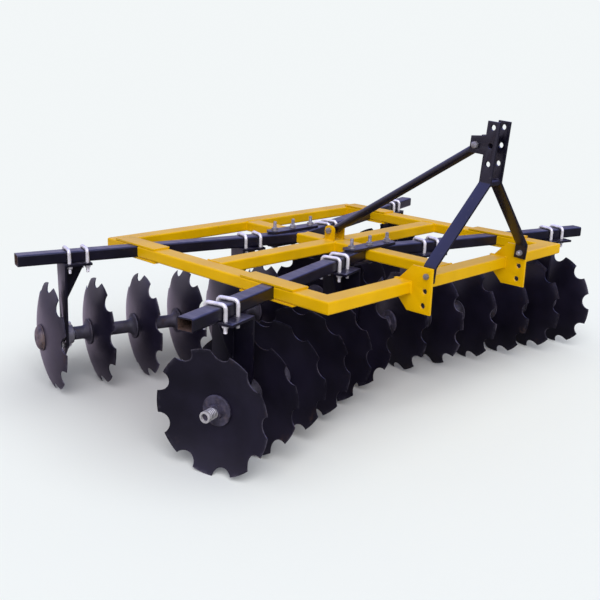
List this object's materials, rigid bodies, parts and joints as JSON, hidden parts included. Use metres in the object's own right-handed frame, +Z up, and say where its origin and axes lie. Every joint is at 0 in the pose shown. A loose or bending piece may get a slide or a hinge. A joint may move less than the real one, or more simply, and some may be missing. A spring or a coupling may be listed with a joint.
{
  "type": "disc harrow",
  "caption": "Mounted tandem disc harrow: flat tube frame on four angled gangs of notched dished discs, with hitch plates, bent mast and brace for a tractor's three-point linkage.",
  "frame": {"origin": "on the floor, under the middle of the machine's length and width", "axes": "+X ahead to the tractor, +Y to the machine's left along its width, +Z up"},
  "size_m": [1.9916, 3.1886, 1.4725],
  "materials": {
    "yellow_paint": "semi-gloss sprayed enamel",
    "black_paint": "semi-gloss sprayed enamel",
    "disc_steel": "thin dark coating on rolled steel",
    "cast_spool": "painted casting",
    "bare_steel": "plain machined steel",
    "bearing_casting": "grey painted casting",
    "zinc_plated": "bright zinc plating"
  },
  "bodies": {
    "frame": {"bearings_front": "bearing_casting", "bearings_rear": "bearing_casting", "brace": "black_paint", "brace_bolts": "zinc_plated", "brace_clevis": "yellow_paint", "centre_beam": "yellow_paint", "front_beam": "yellow_paint", "gang_beam_front_left": "black_paint", "gang_beam_front_right": "black_paint", "gang_beam_rear_left": "black_paint", "gang_beam_rear_right": "black_paint", "hangers_front": "black_paint", "hangers_rear": "black_paint", "hitch_plate_left": "yellow_paint", "hitch_plate_right": "yellow_paint", "joint_bolts": "zinc_plated", "joint_plates": "black_paint", "mast_foot_bolts": "zinc_plated", "mast_leg_left": "black_paint", "mast_leg_right": "black_paint", "mast_spacer": "black_paint", "middle_beam": "yellow_paint", "rear_beam": "yellow_paint", "side_beam_left": "yellow_paint", "side_beam_right": "yellow_paint", "sleeve_plates": "yellow_paint", "ubolts_front": "zinc_plated", "ubolts_rear": "zinc_plated"},
    "gang_front_left": {"discs_front_left": "disc_steel", "end_nuts_front_left": "bare_steel", "shaft_front_left": "bare_steel", "spools_front_left": "cast_spool"},
    "gang_front_right": {"discs_front_right": "disc_steel", "end_nuts_front_right": "bare_steel", "shaft_front_right": "bare_steel", "spools_front_right": "cast_spool"},
    "gang_rear_left": {"discs_rear_left": "disc_steel", "end_nuts_rear_left": "bare_steel", "shaft_rear_left": "bare_steel", "spools_rear_left": "cast_spool"},
    "gang_rear_right": {"discs_rear_right": "disc_steel", "end_nuts_rear_right": "bare_steel", "shaft_rear_right": "bare_steel", "spools_rear_right": "cast_spool"}
  },
  "joints": [
    {"name": "roll_front_right", "type": "hinge", "parent": "frame", "child": "gang_front_right", "pos_m": [0.42062, -0.78569, 0.283], "axis": [0.2664, -0.9639, 0], "continuous": true},
    {"name": "roll_front_left", "type": "hinge", "parent": "frame", "child": "gang_front_left", "pos_m": [0.42062, 0.78569, 0.283], "axis": [0.2664, 0.9639, 0], "continuous": true},
    {"name": "roll_rear_right", "type": "hinge", "parent": "frame", "child": "gang_rear_right", "pos_m": [-0.54981, -0.78139, 0.283], "axis": [-0.2664, -0.9639, 0], "continuous": true},
    {"name": "roll_rear_left", "type": "hinge", "parent": "frame", "child": "gang_rear_left", "pos_m": [-0.54981, 0.78139, 0.283], "axis": [-0.2664, 0.9639, 0], "continuous": true}
  ]
}
